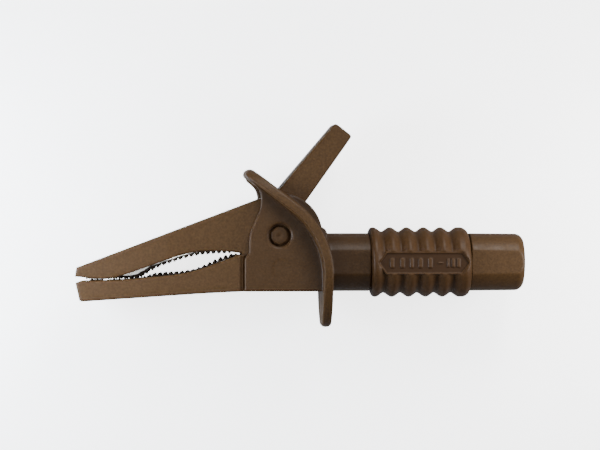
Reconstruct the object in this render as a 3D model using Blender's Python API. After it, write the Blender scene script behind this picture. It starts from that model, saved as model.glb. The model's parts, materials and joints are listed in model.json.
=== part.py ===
"""An insulated crocodile clip with a 4 mm safety socket in its tail.

The design frame has its origin on the pivot, +X towards the socket, +Y towards the thumb lever and +Z along
the pivot. The clip lies on its side, so the pivot stands upright, and the assembly is placed so that the
lowest point of the finger guard is at Z = 0 and the plan box is centred on the origin.
All sizes below are millimetres.
"""

import math

import bmesh
import bpy
from mathutils import Vector

MM = 0.001

# Driving dimensions
BARREL_AXIS_Y = -4.87  # the socket's axis lies this far below the pivot
BARREL_R = 5.25
BARREL_FLAT = 4.86  # half distance across the two side flats
BARREL_END_X = 45.3
TIP_X = -37.05
CHEEK_OUT = 5.8  # half width over the cheeks
CHEEK_IN = 4.5
CHEEK_R = 7.8  # the cheeks' round back
LEVER_OUT = 4.2  # half width of the lever moulding
LEVER_IN = 3.1
HUB_R = 7.55
HUB_BORE_R = 6.4
WALL = 1.2
SHEET = 0.5  # thickness of the stamped blades
FIT = 0.1  # gap between pieces that lie against each other
PIN_R = 1.0
RECESS_R = 2.03
RECESS_FLOOR_Z = 4.78
TOOTH_PITCH = 1.0
TOOTH_DEPTH = 0.5

BODY_BOTTOM_Y = BARREL_AXIS_Y - BARREL_R - 0.03
FLOOR_Y = BODY_BOTTOM_Y + WALL
HOUSING_REAR_X = 8.7
TUBE_STEP_X = 16.8  # where the tube narrows to go under the grip sleeve
TUBE_END_X = 20.0
WAIST_R = 4.75  # tube and barrel under the sleeve
TUBE_BORE_R = 4.1
JOINT_X = -6.45  # front edge of the housing's side walls
JAW_REAR_X = -7.15  # rear face of the lower jaw shell, a groove ahead of the housing
BEND_X = -20.3  # ahead of here the upper jaw tapers with the lower one

GUARD_T = 1.75
GUARD_HALF_WIDTH = 8.0
GUARD_ARC_CENTRE = (-6.85, -7.42)
GUARD_ARC_R = 16.0
GUARD_TURN = 53.0  # the guard's upper part leans this far, in degrees
GUARD_TOP_LENGTH = 9.6
GUARD_BOTTOM_Y = -16.0

LEVER_TIP_LEFT = (10.35, 20.78)
LEVER_TIP_RIGHT = (13.2, 18.33)
LEVER_ROOT_LEFT = (-0.85, 7.5)
LEVER_ROOT_RIGHT = (4.5, 6.1)

BLADE_HALF_WIDTHS = ((-35.6, 1.5), (BEND_X, 2.92), (-8.0, 3.0))
BLADE_FRONT_X = -35.45

POST_R = 3.05
CONTACT_R = 2.5
CONTACT_BORE_R = 2.03
SHANK_R = 1.5
BULKHEAD_X = (15.0, 22.7)
TONGUE_X = (9.5, 14.2)
TONGUE_T = 1.0
RIVET_X = (10.7, 12.7)
LOWER_SCREW_X = 1.2
UPPER_SCREW_REACH = 23.0  # how far up the jaw's back from its tip

WIRE_R = 0.4
COIL_R = 2.0
COIL_PITCH = 0.85
COIL_TURNS = 3

SLEEVE_X = (16.9, 35.2)
SLEEVE_BORE_R = 4.85
RIB_FIRST_X = 17.7
RIB_PITCH = 3.12
RIB_CREST_R = 6.32
RIB_VALLEY_R = 5.6
PANEL_X = (17.9, 34.95)
PANEL_HALF_HEIGHT = 2.05
PANEL_Z = 5.95

ROUND = 48  # sides of a large round
SMALL_ROUND = 20


# ---------------------------------------------------------------- points


def polar(radius, degrees, centre=(0.0, 0.0)):
    angle = math.radians(degrees)
    return (centre[0] + radius * math.cos(angle), centre[1] + radius * math.sin(angle))


def arc(centre, radius, start, end, steps):
    """Points along an arc, both ends included; the angles are degrees."""
    return [polar(radius, start + (end - start) * i / steps, centre) for i in range(steps + 1)]


def bezier(p0, p1, p2, p3, steps):
    """Points along a cubic curve, both ends included."""
    points = []
    for i in range(steps + 1):
        t = i / steps
        weights = ((1 - t) ** 3, 3 * t * (1 - t) ** 2, 3 * t**2 * (1 - t), t**3)
        points.append(tuple(sum(w * p[k] for w, p in zip(weights, (p0, p1, p2, p3))) for k in (0, 1)))
    return points


def along(start, end, distance, aside=0.0):
    """The point that distance from start towards end, and then aside to the left of that direction."""
    length = math.dist(start, end)
    ux, uy = (end[0] - start[0]) / length, (end[1] - start[1]) / length
    return (start[0] + ux * distance - uy * aside, start[1] + uy * distance + ux * aside)


def between(table, x):
    """The value at x on a line through (x, value) points."""
    points = sorted(table)
    if x <= points[0][0]:
        return points[0][1]
    for (x0, v0), (x1, v1) in zip(points, points[1:]):
        if x <= x1:
            return v0 + (v1 - v0) * (x - x0) / (x1 - x0)
    return points[-1][1]


def rounded(corner, before, after, radius, steps=4):
    """A corner replaced by a small arc-like curve that touches both sides."""
    a = along(corner, before, radius)
    b = along(corner, after, radius)
    return bezier(a, along(corner, before, radius * 0.45), along(corner, after, radius * 0.45), b, steps)


# ---------------------------------------------------------------- solids


def clear_scene():
    for obj in list(bpy.data.objects):
        bpy.data.objects.remove(obj)


def material(name, colour, roughness, metallic=0.0):
    made = bpy.data.materials.new(name)
    made.use_nodes = True
    shader = made.node_tree.nodes["Principled BSDF"]
    shader.inputs["Base Color"].default_value = (*colour, 1.0)
    shader.inputs["Roughness"].default_value = roughness
    shader.inputs["Metallic"].default_value = metallic
    return made


def object_from(bm, name, at=(0.0, 0.0, 0.0)):
    """Turns a bmesh in millimetres into an object in metres."""
    bmesh.ops.recalc_face_normals(bm, faces=bm.faces)
    bmesh.ops.scale(bm, vec=(MM, MM, MM), verts=bm.verts)
    mesh = bpy.data.meshes.new(name)
    bm.to_mesh(mesh)
    bm.free()
    obj = bpy.data.objects.new(name, mesh)
    obj.location = Vector(at) * MM
    bpy.context.scene.collection.objects.link(obj)
    return obj


def prism(name, outline, low, high, at=(0.0, 0.0, 0.0), plane="XY"):
    """An outline extruded across the clip (plane XY), or up it (plane XZ)."""
    bm = bmesh.new()
    place = {
        "XY": lambda p: (p[0], p[1], low),
        "XZ": lambda p: (p[0], low, p[1]),
        "YZ": lambda p: (low, p[0], p[1]),
    }
    step = {"XY": (0, 0, high - low), "XZ": (0, high - low, 0), "YZ": (high - low, 0, 0)}
    face = bm.faces.new([bm.verts.new(place[plane](p)) for p in outline])
    grown = bmesh.ops.extrude_face_region(bm, geom=[face])
    moved = [v for v in grown["geom"] if isinstance(v, bmesh.types.BMVert)]
    bmesh.ops.translate(bm, verts=moved, vec=step[plane])
    return object_from(bm, name, at)


def slab(name, half_widths, low, high):
    """A solid symmetric about the middle plane, whose half width follows (x, half width) points."""
    upper = [(x, w) for x, w in half_widths]
    lower = [(x, -w) for x, w in reversed(half_widths)]
    return prism(name, upper + lower, low, high, plane="XZ")


def turned(name, profile, sides, axis="X", at=(0.0, 0.0, 0.0)):
    """A closed (along, radius) profile spun about the X, Y or Z axis."""
    bm = bmesh.new()
    place = {"X": lambda a, r: (a, r, 0), "Y": lambda a, r: (r, a, 0), "Z": lambda a, r: (r, 0, a)}[axis]
    spin = {"X": (1, 0, 0), "Y": (0, 1, 0), "Z": (0, 0, 1)}[axis]
    verts = [bm.verts.new(place(a, r)) for a, r in profile]
    edges = [bm.edges.new((a, b)) for a, b in zip(verts, verts[1:] + verts[:1])]
    rim = verts + edges
    bmesh.ops.spin(bm, geom=rim, axis=spin, cent=(0, 0, 0), angle=math.tau, steps=sides, use_merge=True)
    bmesh.ops.remove_doubles(bm, verts=bm.verts, dist=1e-4)
    bmesh.ops.dissolve_degenerate(bm, edges=bm.edges, dist=1e-5)
    return object_from(bm, name, at)


def rod(name, radius, low, high, sides=SMALL_ROUND, axis="Z", at=(0.0, 0.0, 0.0)):
    return turned(name, [(low, 0), (low, radius), (high, radius), (high, 0)], sides, axis, at)


def combine(obj, tool, operation):
    """Adds a Boolean whose tool stays in the scene as a hidden helper."""
    modifier = obj.modifiers.new(f"{operation.lower()} {tool.name}", "BOOLEAN")
    modifier.operation = operation
    modifier.solver = "EXACT"
    modifier.object = tool
    tool.hide_render = True
    tool.display_type = "WIRE"
    return obj


def cut(obj, *tools):
    for tool in tools:
        combine(obj, tool, "DIFFERENCE")
    return obj


def join(obj, *tools):
    for tool in tools:
        combine(obj, tool, "UNION")
    return obj


def common(obj, *tools):
    for tool in tools:
        combine(obj, tool, "INTERSECT")
    return obj


def finish(obj, finish_material):
    obj.data.materials.append(finish_material)
    obj.data.shade_smooth()
    obj.data.set_sharp_from_angle(angle=math.radians(35))
    return obj


# ---------------------------------------------------------------- finger guard and housing


def guard_centreline():
    """The guard from its leaning top, round its bend and down to its foot, seen from the side."""
    bend_top = polar(GUARD_ARC_R, GUARD_TURN, GUARD_ARC_CENTRE)
    lean = GUARD_TURN + 90
    top = polar(GUARD_TOP_LENGTH, lean, bend_top)
    bend = arc(GUARD_ARC_CENTRE, GUARD_ARC_R, GUARD_TURN, 0, 10)
    foot = (bend[-1][0], GUARD_BOTTOM_Y)
    return [top, *bend, foot]


def guard_band():
    """The guard's side view: a band of even thickness with round ends."""
    line = guard_centreline()
    half = GUARD_T / 2
    outer, inner = [], []
    for i, point in enumerate(line):
        ahead = line[min(i + 1, len(line) - 1)]
        behind = line[max(i - 1, 0)]
        angle = math.degrees(math.atan2(ahead[1] - behind[1], ahead[0] - behind[0]))
        outer.append(polar(half, angle + 90, point))
        inner.append(polar(half, angle - 90, point))
    lean = GUARD_TURN + 90
    top_end = arc(line[0], half, lean + 90, lean - 90, 4)[1:-1]
    foot_end = arc(line[-1], half, 0, -180, 4)[1:-1]
    return top_end + outer + foot_end + inner[::-1]


def guard_face():
    """The guard seen along the socket's axis: an oval, squarer at the top than at the foot."""
    top = guard_centreline()[0][1] + GUARD_T / 2 + 0.2
    foot = GUARD_BOTTOM_Y - GUARD_T / 2 - 0.2
    middle, half = (top + foot) / 2, (top - foot) / 2
    points = []
    steps = 40
    for i in range(steps):
        angle = math.tau * i / steps
        power = 2 / (3.2 if math.sin(angle) > 0 else 2.1)
        y = math.copysign(abs(math.sin(angle)) ** power, math.sin(angle))
        z = math.copysign(abs(math.cos(angle)) ** power, math.cos(angle))
        points.append((middle + half * y, GUARD_HALF_WIDTH * z))
    return points


def guard():
    band = prism("guard", guard_band(), -GUARD_HALF_WIDTH - 1, GUARD_HALF_WIDTH + 1)
    return common(band, prism("guard_face", guard_face(), -12, 12, plane="YZ"))


def cheek_outline():
    """One side wall of the housing: straight front below, a wavy front above, and a round back."""
    back = arc((0, 0), CHEEK_R, 3, 96, 16)
    horn = bezier((-5.4, 10.05), (-4.1, 9.1), (-3.43, 8.2), (-3.43, 6.7), 5)
    wave = bezier((-3.43, 6.7), (-3.43, 3.2), (-5.64, 2.2), (-5.64, -1.5), 8)
    shoulder = [(-5.64, -3.1), (JOINT_X, -4.1)]
    base = [(JOINT_X, BODY_BOTTOM_Y), (HOUSING_REAR_X, BODY_BOTTOM_Y), (HOUSING_REAR_X, 0.41)]
    return back + [(-3.2, 9.2)] + horn + wave[1:] + shoulder + base


def lever_slot():
    """Side view of the space between the cheeks. The guard's top bridges it, and is the lever's stop."""
    beside_lever = along(LEVER_ROOT_LEFT, LEVER_TIP_LEFT, 6, 0.5)
    stop = [(-1.2, 8.2), (-3.1, 8.65)]
    under_bridge = guard_centreline()[0]
    lean = GUARD_TURN + 90
    bridge_front = polar(GUARD_T / 2 - 0.03, lean + 90, polar(2, lean, under_bridge))
    floor = [(-10, FLOOR_Y), (HOUSING_REAR_X - 0.75, FLOOR_Y), (HOUSING_REAR_X - 0.75, 0.9)]
    above = [(12, 4), (12, 14), beside_lever]
    return floor + above + stop + [bridge_front, (-10, bridge_front[1])]


def pivot_housing(plastic):
    body = prism("pivot_housing", cheek_outline(), -CHEEK_OUT, CHEEK_OUT)
    tube_profile = [(8.2, 0), (8.2, BARREL_R), (TUBE_STEP_X, BARREL_R)]
    tube_profile += [(TUBE_STEP_X, WAIST_R), (TUBE_END_X, WAIST_R), (TUBE_END_X, 0)]
    tube = turned("tube", tube_profile, ROUND, at=(0, BARREL_AXIS_Y, 0))
    common(tube, slab("tube_flats", [(0, BARREL_FLAT), (25, BARREL_FLAT)], -12, 2))
    bore = rod("tube_bore", TUBE_BORE_R, 7, TUBE_END_X + 1, ROUND, "X", (0, BARREL_AXIS_Y, 0))
    space = prism("lever_slot", lever_slot(), -CHEEK_IN, CHEEK_IN)
    gap_low, gap_high = BODY_BOTTOM_Y - 1, FLOOR_Y + 0.5
    tongue_gap = [(-10, gap_low), (-3.5, gap_low), (-3.5, gap_high), (-10, gap_high)]
    front_gap = prism("tongue_gap", tongue_gap, -CHEEK_IN, CHEEK_IN)
    pin_hole = rod("pin_hole", PIN_R + FIT, -7, 7)
    screw_socket = rod("screw_socket", 0.7, FLOOR_Y - 1.0, FLOOR_Y + 1, axis="Y", at=(LOWER_SCREW_X, 0, 0))
    recess_near = rod("recess_near", RECESS_R, RECESS_FLOOR_Z, 7, 28)
    recess_far = rod("recess_far", RECESS_R, -7, -RECESS_FLOOR_Z, 28)
    join(body, tube, guard())
    cut(body, space, bore, front_gap, pin_hole, screw_socket, recess_near, recess_far)
    return finish(body, plastic)


# ---------------------------------------------------------------- lower jaw


def lower_jaw_top():
    """The lower jaw's upper edge, from its rear end to its tip."""
    hollow = bezier((-12.8, -5.5), (-15.2, -6.4), (-17.6, -6.95), (-20.1, -7.22), 5)
    return [(JAW_REAR_X, -3.4), *hollow, (-29.0, -8.05), (-35.8, -8.2), (TIP_X, -8.65)]


LOWER_JAW_BOTTOM = ((-35.9, -12.0), (-14.3, -10.52), (JAW_REAR_X, BODY_BOTTOM_Y))
LOWER_JAW_HALF_WIDTHS = ((TIP_X - 1, 2.4), (JAW_REAR_X + 1, 5.65))


def shifted(points, up):
    return [(x, y + up) for x, y in points]


def lower_jaw_shell(plastic):
    bottom = list(LOWER_JAW_BOTTOM)
    jaw = prism("lower_jaw_shell", bottom + lower_jaw_top() + [(-36.35, -11.7)], -6, 6)
    common(jaw, slab("lower_jaw_plan", LOWER_JAW_HALF_WIDTHS, -14, 0))
    tongue = [(-8, BODY_BOTTOM_Y), (-3.6, BODY_BOTTOM_Y), (-3.6, -7.25)]
    tongue += [(-5.6, -5.9), (JAW_REAR_X, -4.6), (-8, -4.6)]
    join(jaw, prism("tongue", tongue, FIT - CHEEK_IN, CHEEK_IN - FIT))
    underside = [(-35.7, -11.99), (-14.3, -10.52), (JAW_REAR_X, BODY_BOTTOM_Y), (-2, BODY_BOTTOM_Y)]
    floor = shifted(underside, WALL)
    trough = prism("lower_trough", floor + [(-2, 2), (-35.7, 2)], -6, 6)
    common(trough, slab("lower_trough_plan", widened(BLADE_HALF_WIDTHS, FIT), -14, 3))
    cut(jaw, trough)
    return finish(jaw, plastic)


def widened(half_widths, by):
    """Half widths of a blade's plan, a little wider or narrower and run on past both ends."""
    first, last = half_widths[0], half_widths[-1]
    middle = [(x, w + by) for x, w in half_widths]
    return [(first[0] - 3, first[1] + by), *middle, (last[0] + 12, last[1] + by)]


def teeth(line, front_x, rear_x, outward, phase=0.0):
    """A saw edge whose tips follow (x, y) points from the front; outward is +1 for tips above."""
    points = []
    count = int((rear_x - front_x - phase) / TOOTH_PITCH)
    for i in range(count):
        x = front_x + phase + i * TOOTH_PITCH
        root_x = x + TOOTH_PITCH / 2
        points.append((x, between(line, x)))
        points.append((root_x, between(line, root_x) - outward * TOOTH_DEPTH))
    return points


LOWER_TEETH = (
    (-35.6, -8.0), (-25.8, -7.98), (-24.6, -7.55), (-22.6, -7.02), (-20.6, -6.78), (-18.0, -6.56),
    (-15.2, -6.15), (-13.4, -5.6), (-11.5, -4.85), (-9.8, -4.1), (-8.0, -3.65),
)
UPPER_TEETH = (
    (-35.6, -7.94), (-25.8, -7.94), (-24.6, -7.35), (-23.5, -6.55), (-21.6, -5.6), (-18.0, -4.38),
    (-16.1, -3.85), (-14.3, -3.5), (-11.5, -3.3), (-8.0, -3.42),
)


def strip(points, thickness):
    """Side view of a bent strip: the points are its lower face."""
    upper = []
    for i, point in enumerate(points):
        ahead = points[min(i + 1, len(points) - 1)]
        behind = points[max(i - 1, 0)]
        angle = math.degrees(math.atan2(ahead[1] - behind[1], ahead[0] - behind[0]))
        upper.append(polar(thickness, angle + 90, point))
    return points + upper[::-1]


def lower_jaw_blade(metal):
    floor = shifted([(BLADE_FRONT_X, -11.97), (-14.3, -10.52), (-7.6, BODY_BOTTOM_Y)], WALL + FIT)
    edge = teeth(LOWER_TEETH, BLADE_FRONT_X, -7.6, 1, TOOTH_PITCH / 2)
    side = floor + [(-7.6, -4.1)] + edge[::-1] + [(BLADE_FRONT_X, -8.5)]
    blade = prism("lower_jaw_blade", side, -6, 6)
    common(blade, slab("lower_blade_plan", widened(BLADE_HALF_WIDTHS, 0), -14, 0))
    underside = [(-40, -11.97 - 0.32), (-14.3, -10.52), (-6, BODY_BOTTOM_Y - 0.03)]
    inside = shifted(underside, WALL + FIT + SHEET)
    channel = prism("lower_channel", inside + [(-6, 0), (-40, 0)], -6, 6)
    common(channel, slab("lower_channel_plan", widened(BLADE_HALF_WIDTHS, -SHEET), -14, 1))
    tail_y = FLOOR_Y + FIT
    under_tongue = BARREL_AXIS_Y - TONGUE_T / 2 - FIT - SHEET
    tail_end = (TONGUE_X[1] - 0.4, under_tongue)
    tail = strip([(-8.4, tail_y), (4.4, tail_y), (8.9, under_tongue), tail_end], SHEET)
    join(blade, prism("blade_tail", tail, -1.8, 1.8))
    cut(blade, channel)
    for i, x in enumerate(RIVET_X):
        cut(blade, rod(f"tail_hole_{i}", 0.6, -12, 0, axis="Y", at=(x, 0, 0)))
    cut(blade, rod("screw_hole", 0.7, -12, 0, axis="Y", at=(LOWER_SCREW_X, 0, 0)))
    return finish(blade, metal)


def blade_screw(metal):
    """Holds the lower blade's tail down on the housing's floor, with its cone head in the strip."""
    top = FLOOR_Y + FIT + SHEET + 0.35
    under_head = FLOOR_Y + FIT + SHEET + 0.05
    profile = [(top, 0), (top, 1.1), (under_head, 1.1), (under_head, 0.6)]
    profile += [(FLOOR_Y - 0.7, 0.6), (FLOOR_Y - 0.9, 0)]
    return finish(turned("lower_blade_screw", profile, SMALL_ROUND, "Y", (LOWER_SCREW_X, 0, 0)), metal)


# ---------------------------------------------------------------- lever moulding


def upper_jaw_edge():
    """The upper jaw's lower edge, from the tip to the hub."""
    nose = [(TIP_X - 0.1, -7.45), (-35.6, -7.57), (-34.2, -7.84), (-31.8, -7.88), (-30.0, -7.68)]
    roof = bezier((-18.9, -3.84), (-15.9, -2.75), (-12.2, -2.5), (-8.2, -3.02), 6)
    return nose + [(-28.1, -7.1)] + roof


def back_tangent():
    """Where the straight back of the jaw, drawn from its tip, touches the hub."""
    tip = (TIP_X + 0.15, -5.85)
    angle = math.degrees(math.atan2(tip[1], tip[0])) + 360
    reach = math.degrees(math.acos(HUB_R / math.hypot(*tip)))
    return tip, angle - reach


def lever_outline():
    tip, tangent = back_tangent()
    root_left = math.degrees(math.atan2(LEVER_ROOT_LEFT[1], LEVER_ROOT_LEFT[0]))
    root_right = math.degrees(math.atan2(LEVER_ROOT_RIGHT[1], LEVER_ROOT_RIGHT[0]))
    top = rounded(LEVER_TIP_LEFT, LEVER_ROOT_LEFT, LEVER_TIP_RIGHT, 0.8)
    end = rounded(LEVER_TIP_RIGHT, LEVER_TIP_LEFT, LEVER_ROOT_RIGHT, 1.0)
    hub = arc((0, 0), HUB_R, root_right, -155, 24)
    back = arc((0, 0), HUB_R, tangent, root_left, 2)
    return upper_jaw_edge() + hub[::-1] + end[::-1] + top[::-1] + back[::-1] + [tip]


def lever_channel():
    """Side view of the lever's hollow, open on the side that faces the barrel."""
    left_low = along(along(LEVER_ROOT_LEFT, LEVER_TIP_LEFT, -1.2), LEVER_TIP_LEFT, 0, -1.3)
    left_high = along(along(LEVER_TIP_LEFT, LEVER_ROOT_LEFT, 1.3), LEVER_ROOT_LEFT, 0, 1.3)
    right_high = along(along(LEVER_TIP_RIGHT, LEVER_ROOT_RIGHT, 1.3), LEVER_ROOT_RIGHT, 0, -1.0)
    right_high = (right_high[0] + 1.6, right_high[1] - 1.1)
    right_low = along(LEVER_ROOT_RIGHT, LEVER_TIP_RIGHT, 1.7, -1.0)
    return [left_low, (2.6, 5.2), right_low, right_high, left_high]


def hub_space():
    """Side view of the hub's hollow: closed at the rear and top, open below for the spring's foot."""
    inside = arc((0, 0), HUB_BORE_R, -20, 205, 24)
    outside = arc((0, 0), 10, 205, 340, 8)
    return inside + outside


def jaw_space():
    """Side view of the trough in the upper jaw, a wall's thickness under its back."""
    tip, tangent = back_tangent()
    touch = polar(HUB_R, tangent)
    front = along(tip, touch, 1.25, -WALL)
    rear = along(tip, touch, math.dist(tip, touch) - 2.2, -WALL)
    return [(front[0], -14), (-4.6, -14), rear, front]


def lever_shell(plastic):
    shell = prism("lever_shell", lever_outline(), -LEVER_OUT, LEVER_OUT)
    plan = [(TIP_X - 1, 2.4), (BEND_X, LEVER_OUT), (16, LEVER_OUT)]
    common(shell, slab("lever_plan", plan, -14, 24))
    trough = prism("upper_trough", jaw_space(), -6, 6)
    common(trough, slab("upper_trough_plan", widened(BLADE_HALF_WIDTHS, FIT), -15, 12))
    hub = prism("hub_space", hub_space(), -LEVER_IN, LEVER_IN)
    channel = prism("lever_channel", lever_channel(), -LEVER_IN + 0.1, LEVER_IN - 0.1)
    screw_socket = upper_screw_solid("upper_socket", [(-3, 0), (-3, 0.7), (1 - WALL, 0.7), (1 - WALL, 0)])
    cut(shell, trough, hub, channel, rod("hub_pin_hole", PIN_R + FIT, -7, 7), screw_socket)
    return finish(shell, plastic)


def upper_jaw_blade(metal):
    tip, tangent = back_tangent()
    touch = polar(HUB_R, tangent)
    top = WALL + FIT
    front = along(tip, touch, 1.5, -top)
    rear = along(tip, touch, math.dist(tip, touch) - 5.4, -top)
    ear = arc((0, 0), 2.4, 120, -120, 10)
    edge = teeth(UPPER_TEETH, front[0], -7.6, -1)
    side = edge + [(-7.4, -2.9)] + ear[::-1] + [rear, front]
    blade = prism("upper_jaw_blade", side, -6, 6)
    common(blade, slab("upper_blade_plan", widened(BLADE_HALF_WIDTHS, 0), -15, 12))
    web = along(front, rear, 0, -SHEET)
    web_end = along(rear, front, 1.5, SHEET)
    ahead = along(web, web_end, -6)
    inside = [(ahead[0], -14), (6, -14), (6, 12), (web_end[0] + 0.3, 12), web_end, ahead]
    channel = prism("upper_channel", inside, -6, 6)
    common(channel, slab("upper_channel_plan", widened(BLADE_HALF_WIDTHS, -SHEET), -15, 13))
    screw_hole = upper_screw_solid("upper_hole", [(-3, 0), (-3, 0.7), (0, 0.7), (0, 0)])
    cut(blade, channel, rod("ear_hole", PIN_R + FIT, -7, 7), screw_hole)
    return finish(blade, metal)


def upper_screw_solid(name, profile):
    """A solid turned about the upper screw's axis, which stands square on the jaw's back."""
    tip, tangent = back_tangent()
    touch = polar(HUB_R, tangent)
    solid = turned(name, profile, SMALL_ROUND, "Y", (*along(tip, touch, UPPER_SCREW_REACH), 0))
    solid.rotation_euler.z = math.atan2(touch[1] - tip[1], touch[0] - tip[0])
    return solid


def upper_blade_screw(metal):
    """Holds the upper blade's web against the roof of its trough."""
    under_head = -WALL - FIT - SHEET - 0.05
    top = under_head - 0.3
    profile = [(top, 0), (top, 1.1), (under_head, 1.1), (under_head, 0.6)]
    profile += [(0.7 - WALL, 0.6), (0.9 - WALL, 0)]
    return finish(upper_screw_solid("upper_blade_screw", profile), metal)


# ---------------------------------------------------------------- pivot


def pivot_pin(metal):
    end = CHEEK_IN + 0.2
    profile = [(-end, 0), (-end, 0.8), (0.2 - end, PIN_R), (end - 0.2, PIN_R), (end, 0.8), (end, 0)]
    return finish(turned("pivot_pin", profile, SMALL_ROUND, "Z"), metal)


def pivot_cap(name, side, plastic):
    """A plug in the housing's recess: a boss on a thin flange, below the cheek's face."""
    base, flange, face = RECESS_FLOOR_Z + 0.04, RECESS_FLOOR_Z + 0.15, 5.48
    profile = [(base, 0), (base, 1.95), (flange, 1.95), (flange, 1.5)]
    profile += [(face - 0.15, 1.5), (face, 1.3), (face, 0)]
    return finish(turned(name, [(side * z, r) for z, r in profile], 24, "Z"), plastic)


def spring_bush(plastic):
    inner, outer, end = PIN_R + FIT, COIL_R - WIRE_R - FIT, 2.3
    profile = [(-end, inner), (-end, outer), (end, outer), (end, inner)]
    return finish(turned("spring_bush", profile, SMALL_ROUND, "Z"), plastic)


def spring_path():
    """Centre line of the wire: up the lever, round the coil, and down to the housing's floor."""
    leg_angle, foot_angle = 57.5, -57.0
    start, end = leg_angle + 90, foot_angle + 270
    sweep = end - start + 360 * COIL_TURNS
    height = COIL_PITCH * sweep / 360
    tip = polar(11.7, leg_angle, polar(COIL_R, start))
    toe = polar(1.6, 49.9, tip)
    points = [(*toe, -height / 2), (*tip, -height / 2)]
    steps = 44
    for i in range(steps + 1):
        share = i / steps
        points.append((*polar(COIL_R, start + sweep * share), height * (share - 0.5)))
    heel = polar(8.0, foot_angle, polar(COIL_R, end))
    points.append((*heel, height / 2))
    points.append((heel[0] + 1.8, heel[1], height / 2))
    return points


def torsion_spring(steel):
    """A bevelled curve, so that the wire keeps its thickness round the coil."""
    curve = bpy.data.curves.new("torsion_spring", "CURVE")
    curve.dimensions = "3D"
    curve.bevel_depth = WIRE_R * MM
    curve.bevel_resolution = 2
    curve.use_fill_caps = True
    path = spring_path()
    spline = curve.splines.new("POLY")
    spline.points.add(len(path) - 1)
    for point, place in zip(spline.points, path):
        point.co = (*(Vector(place) * MM), 1)
    obj = bpy.data.objects.new("torsion_spring", curve)
    bpy.context.scene.collection.objects.link(obj)
    curve.materials.append(steel)
    return obj


# ---------------------------------------------------------------- socket


def socket_barrel(plastic):
    """The rear of the tube, with a spigot ahead, a bulkhead and the round recess for a plug's sleeve."""
    end, radius = BARREL_END_X, BARREL_R - 0.05
    lip = bezier((end - 1.6, radius), (end - 0.7, radius), (end, radius - 0.1), (end, radius - 0.6), 5)
    step_x, sleeve_end = TUBE_END_X + FIT, SLEEVE_X[1] + FIT
    spigot = [(BULKHEAD_X[0], SHANK_R + FIT), (BULKHEAD_X[0], TUBE_BORE_R - FIT), (step_x, TUBE_BORE_R - FIT)]
    outside = [(step_x, WAIST_R), (sleeve_end, WAIST_R), (sleeve_end, radius), *lip]
    bore = [(end, TUBE_BORE_R + 0.1), (end - 0.2, TUBE_BORE_R), (BULKHEAD_X[1], TUBE_BORE_R)]
    profile = spigot + outside + bore + [(BULKHEAD_X[1], SHANK_R + FIT)]
    barrel = turned("socket_barrel", profile, ROUND, at=(0, BARREL_AXIS_Y, 0))
    common(barrel, slab("barrel_flats", [(10, BARREL_FLAT - 0.04), (50, BARREL_FLAT - 0.04)], -12, 2))
    return finish(barrel, plastic)


def socket_post(plastic):
    """The insulating sleeve round the contact; its lip keeps a finger off the metal."""
    start, end = BULKHEAD_X[1] + FIT, BARREL_END_X - 0.7
    inner = CONTACT_R + FIT
    profile = [(start, inner), (start, POST_R), (end - 0.3, POST_R), (end, POST_R - 0.3)]
    lip = [(end, CONTACT_BORE_R + 0.3), (end - 0.5, CONTACT_BORE_R + 0.12), (end - 0.5, inner)]
    return finish(turned("socket_post", profile + lip, 32, at=(0, BARREL_AXIS_Y, 0)), plastic)


def socket_contact(metal):
    """Turned socket: a flat tongue, a shank through the bulkhead, a flange and the bored tube."""
    flange, end, bottom = BULKHEAD_X[1] + FIT, BARREL_END_X - 1.35, 27.5
    profile = [
        (TONGUE_X[1], 0), (TONGUE_X[1], SHANK_R), (flange, SHANK_R), (flange, CONTACT_R), (end, CONTACT_R),
        (end, CONTACT_BORE_R + 0.2), (end - 0.3, CONTACT_BORE_R), (bottom, CONTACT_BORE_R), (bottom - 1, 0),
    ]
    contact = turned("socket_contact", profile, 32, at=(0, BARREL_AXIS_Y, 0))
    half = TONGUE_T / 2
    tongue = [(TONGUE_X[0], 1.5), (TONGUE_X[0] + 0.6, 1.9)]
    tongue += [(TONGUE_X[1] - 1.5, 1.9), (TONGUE_X[1] + 0.4, 1.35)]
    join(contact, slab("contact_tongue", tongue, BARREL_AXIS_Y - half, BARREL_AXIS_Y + half))
    contact_tongue = bpy.data.objects["contact_tongue"]
    for i, x in enumerate(RIVET_X):
        cut(contact_tongue, rod(f"tongue_hole_{i}", 0.6, -12, 0, axis="Y", at=(x, 0, 0)))
    return finish(contact, metal)


def lock_washer(steel):
    """Dished ring pressed onto the shank against the barrel's front."""
    front = BULKHEAD_X[0] - 0.45
    bore_r = SHANK_R + 0.05
    profile = [(front, bore_r), (front - 0.15, SHANK_R + 0.4), (front, 3.3)]
    profile += [(front + 0.35, 3.3), (front + 0.35, bore_r)]
    return finish(turned("contact_lock_washer", profile, 24, at=(0, BARREL_AXIS_Y, 0)), steel)


def tail_rivet(name, x, metal):
    """Clamps the blade's tail under the contact's tongue."""
    half = TONGUE_T / 2
    top, under = BARREL_AXIS_Y + half + 0.05, BARREL_AXIS_Y - half - FIT - SHEET - 0.05
    profile = [(top + 0.35, 0), (top + 0.3, 0.6), (top, 0.95), (top, 0.5)]
    profile += [(under, 0.5), (under, 0.95), (under - 0.3, 0.6), (under - 0.35, 0)]
    return finish(turned(name, profile, 16, "Y", (x, 0, 0)), metal)


# ---------------------------------------------------------------- grip sleeve


def rib_radius(x):
    wave = 0.5 + 0.5 * math.cos(math.tau * (x - RIB_FIRST_X) / RIB_PITCH)
    return RIB_VALLEY_R + (RIB_CREST_R - RIB_VALLEY_R) * wave


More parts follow.
